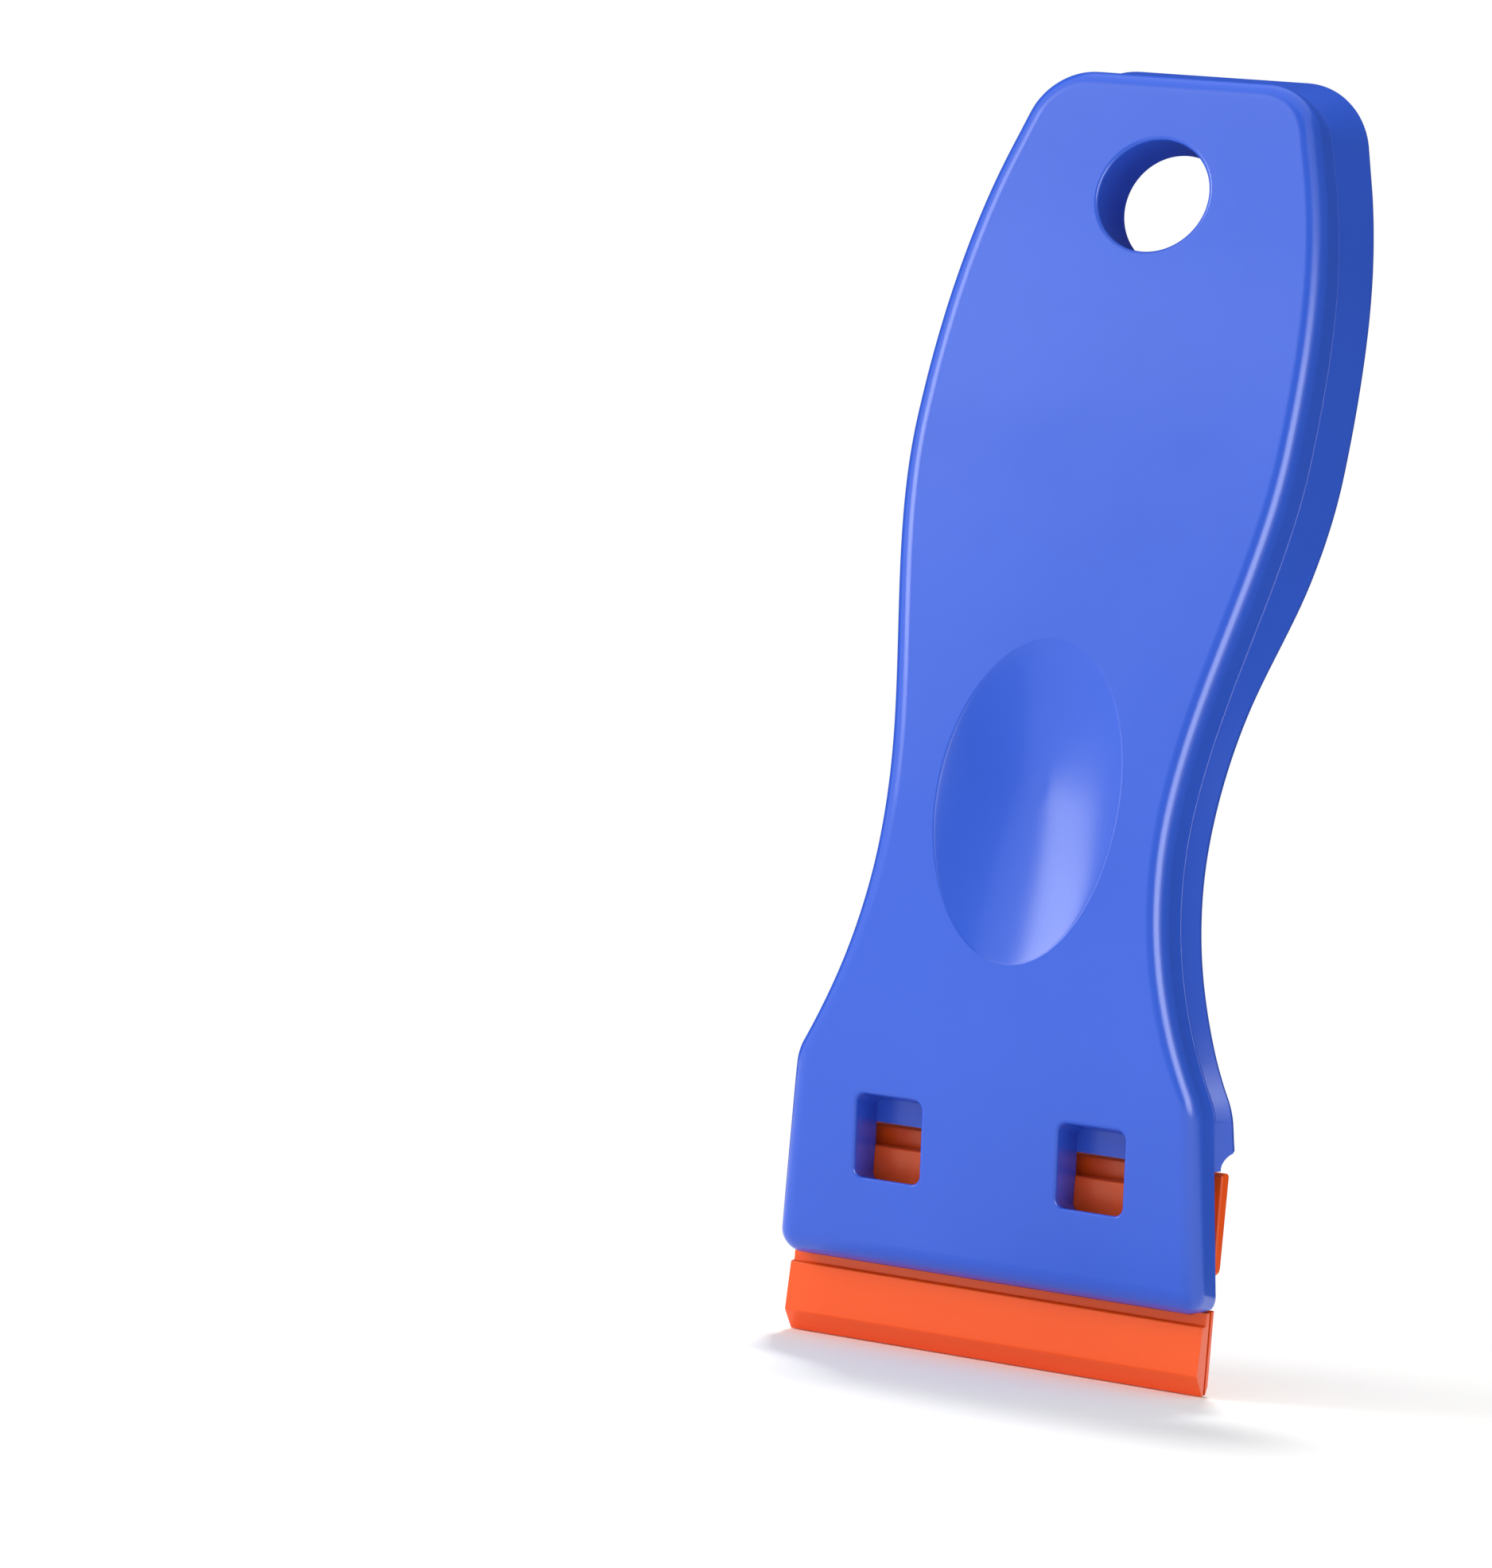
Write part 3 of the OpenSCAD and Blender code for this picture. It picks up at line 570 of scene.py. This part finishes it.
def noise(mat, values):
    """Noise in the object's own coordinates. Gives its output."""
    nodes, links = mat.node_tree.nodes, mat.node_tree.links
    node = nodes.new("ShaderNodeTexNoise")
    for socket, value in zip(("Scale", "Detail", "Roughness"), values):
        node.inputs[socket].default_value = value
    links.new(nodes.new("ShaderNodeTexCoord").outputs["Object"], node.inputs["Vector"])
    return node.outputs["Fac"]


def clouded(name, clouds, stops, colours):
    """Material whose colour drifts between two colours. Gives it and its shader."""
    mat = bpy.data.materials.new(name)
    mat.use_nodes = True
    nodes, links = mat.node_tree.nodes, mat.node_tree.links
    shader = nodes["Principled BSDF"]
    ramp = nodes.new("ShaderNodeValToRGB")
    for element, stop, colour in zip(ramp.color_ramp.elements, stops, colours):
        element.position, element.color = stop, (*colour, 1)
    links.new(noise(mat, clouds), ramp.inputs["Fac"])
    links.new(ramp.outputs["Color"], shader.inputs["Base Color"])
    return mat, shader


def plastic(name, colours):
    """Moulded plastic: slightly uneven colour and gloss, faint waves and a fine moulded grain."""
    mat, shader = clouded(name, PLASTIC_CLOUDS, PLASTIC_STOPS, colours)
    nodes, links = mat.node_tree.nodes, mat.node_tree.links
    gloss = nodes.new("ShaderNodeMapRange")
    gloss.inputs["To Min"].default_value, gloss.inputs["To Max"].default_value = GLOSS_RANGE
    links.new(noise(mat, GLOSS_NOISE), gloss.inputs["Value"])
    links.new(gloss.outputs["Result"], shader.inputs["Roughness"])

    def bump(values, strength_and_depth):
        node = nodes.new("ShaderNodeBump")
        node.inputs["Strength"].default_value, node.inputs["Distance"].default_value = strength_and_depth
        links.new(noise(mat, values), node.inputs["Height"])
        return node

    waves, grain = bump(WAVE_NOISE, WAVE_BUMP), bump(GRAIN_NOISE, GRAIN_BUMP)
    links.new(waves.outputs["Normal"], grain.inputs["Normal"])
    links.new(grain.outputs["Normal"], shader.inputs["Normal"])
    shader.inputs["IOR"].default_value = PLASTIC_IOR
    return mat


def paint(name, colours):
    """Matt paint with faint clouds."""
    mat, shader = clouded(name, PAINT_CLOUDS, PAINT_STOPS, colours)
    shader.inputs["Roughness"].default_value = PAINT_ROUGHNESS
    shader.inputs["Specular IOR Level"].default_value = PAINT_SPECULAR
    return mat


blue = plastic("blue_plastic", BLUES)
orange = plastic("orange_plastic", ORANGES)

PIECES = [
    (front_shell(), "front_shell", "handle", blue, "handle_plastic"),
    (back_shell(), "back_shell", "handle", blue, "handle_plastic"),
    (clip_front_leaf(), "clip_front_leaf", "handle", orange, "clip_plastic"),
    (clip_rear_leaf(), "clip_rear_leaf", "rear_leaf", orange, "clip_plastic"),
    (locking_lever(), "locking_lever", "lever", orange, "clip_plastic"),
]
for piece, node, body, material, slot_name in PIECES:
    piece.data.materials.clear()
    piece.data.materials.append(material)
    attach(piece, body)
    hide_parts(node)


# Camera, as fitted to the photograph: its axes in the row frame and its place in tool coordinates
RIGHT = Vector((0.89539, 0.41294, 0.16660))
DOWN = Vector((0.11328, 0.15059, -0.98208))
LOOK = Vector((-0.43063, 0.89822, 0.08806))
EYE = tool((237.552, -560.298, -8.86))
LENS_MM, SENSOR_MM, CLIP_NEAR_M, CLIP_FAR_M = 139.73, 36, 0.01, 50

camera = linked("camera", bpy.data.cameras.new("camera"))
camera.matrix_world = Matrix.Translation(EYE) @ Matrix((RIGHT, -DOWN, -LOOK)).transposed().to_4x4()
camera.data.sensor_fit = "VERTICAL"
camera.data.sensor_height = camera.data.sensor_width = SENSOR_MM
camera.data.lens = LENS_MM
camera.data.clip_start, camera.data.clip_end = CLIP_NEAR_M, CLIP_FAR_M
bpy.context.scene.camera = camera


# Floor, screens, lamps and background, in metres in the row frame
FLOOR_TILT, FLOOR_Z = math.radians(8), -0.1206
FLOOR_HALF_W, FLOOR_NEAR, FLOOR_FAR = 0.5, 0.6, 0.08
SCREEN_R, SCREEN_TOP, SCREEN_STEPS = 0.6, 0.9, 24
MIDDLE = (0, 0, -0.05)
# Name, place, target, width and height, watts, seen in gloss, lights matt surfaces
LAMPS = [
    ("left", (-0.90, -0.84, 0.34), MIDDLE, (0.6, 0.5), 6.6, True, True),
    ("front", (-0.5, -1.0, 0.75), MIDDLE, (1.0, 0.5), 2.2, True, True),
    ("fill", (-0.25, -1.2, -0.1), MIDDLE, (0.9, 0.9), 2.4, False, True),
    ("right", (0.68, -0.58, 0.03), MIDDLE, (0.48, 0.9), 9.0, True, False),
    ("side", (0.87, -0.23, -0.15), MIDDLE, (0.3, 0.3), 1.2, False, True),
    ("above", (-0.13, 0.17, 0.83), (0, 0, -0.12), (0.12, 0.12), 4.6, False, True),
]
# The room lights matt surfaces by TENT. The camera, gloss and glass see BACKDROP.
TENT, BACKDROP = 0.56, 1.0


def stage_floor():
    """Pale floor under the tool, tipped a little towards the front, so that it shows below the jaw."""
    across = Vector((1, 0, 0))
    ahead = Vector((0, math.cos(FLOOR_TILT), math.sin(FLOOR_TILT)))
    places = ((-FLOOR_HALF_W, -FLOOR_NEAR), (FLOOR_HALF_W, -FLOOR_NEAR),
              (FLOOR_HALF_W, FLOOR_FAR), (-FLOOR_HALF_W, FLOOR_FAR))
    verts = [Vector((0, 0, FLOOR_Z)) + across * x + ahead * y for x, y in places]
    floor = mesh_object("floor", verts, [(0, 1, 2, 3)])
    floor.data.materials.append(paint("floor_paint", FLOOR_COLOURS))


def screen(name, start, end, low):
    """Dark curved screen that only the gloss of the tool sees. Its angles run counter-clockwise from +X."""
    turns = [math.radians(start + (end - start) * i / SCREEN_STEPS) for i in range(SCREEN_STEPS + 1)]
    verts = [(SCREEN_R * math.cos(a), SCREEN_R * math.sin(a), z) for a in turns for z in (low, SCREEN_TOP)]
    obj = mesh_object(name, verts, [(i, i + 1, i + 3, i + 2) for i in range(0, len(verts) - 2, 2)])
    obj.data.materials.append(paint(name + "_paint", SCREEN_COLOURS))
    obj.visible_camera = obj.visible_diffuse = obj.visible_shadow = False


def area_light(name, place, target, size, power, glossy, diffuse):
    light = bpy.data.lights.new(name, "AREA")
    light.shape = "RECTANGLE"
    light.size, light.size_y = size
    light.energy = power
    obj = linked(name, light)
    obj.location = place
    obj.rotation_mode = "QUATERNION"
    obj.rotation_quaternion = (Vector(place) - Vector(target)).to_track_quat("Z", "Y")
    obj.visible_glossy, obj.visible_diffuse = glossy, diffuse


def studio_world():
    """White background for the camera and for gloss and glass, and a dimmer even light for the rest."""
    world = bpy.data.worlds.new("studio")
    bpy.context.scene.world = world
    world.use_nodes = True
    nodes, links = world.node_tree.nodes, world.node_tree.links
    nodes.clear()

    def either(first, second):
        node = nodes.new("ShaderNodeMath")
        node.operation = "MAXIMUM"
        links.new(first, node.inputs[0])
        links.new(second, node.inputs[1])
        return node.outputs["Value"]

    ray = nodes.new("ShaderNodeLightPath").outputs
    mix = nodes.new("ShaderNodeMixShader")
    mirrored = either(ray["Is Glossy Ray"], ray["Is Transmission Ray"])
    links.new(either(ray["Is Camera Ray"], mirrored), mix.inputs["Fac"])
    for i, strength in ((1, TENT), (2, BACKDROP)):
        white = nodes.new("ShaderNodeBackground")
        white.inputs["Color"].default_value = (1, 1, 1, 1)
        white.inputs["Strength"].default_value = strength
        links.new(white.outputs["Background"], mix.inputs[i])
    links.new(mix.outputs["Shader"], nodes.new("ShaderNodeOutputWorld").inputs["Surface"])


stage_floor()
screen("back_screen", -8, 175, -1.5)
screen("camera_screen", -98, -60, -0.6)
for lamp in LAMPS:
    area_light(*lamp)
studio_world()
bpy.context.scene.view_settings.view_transform = "Standard"
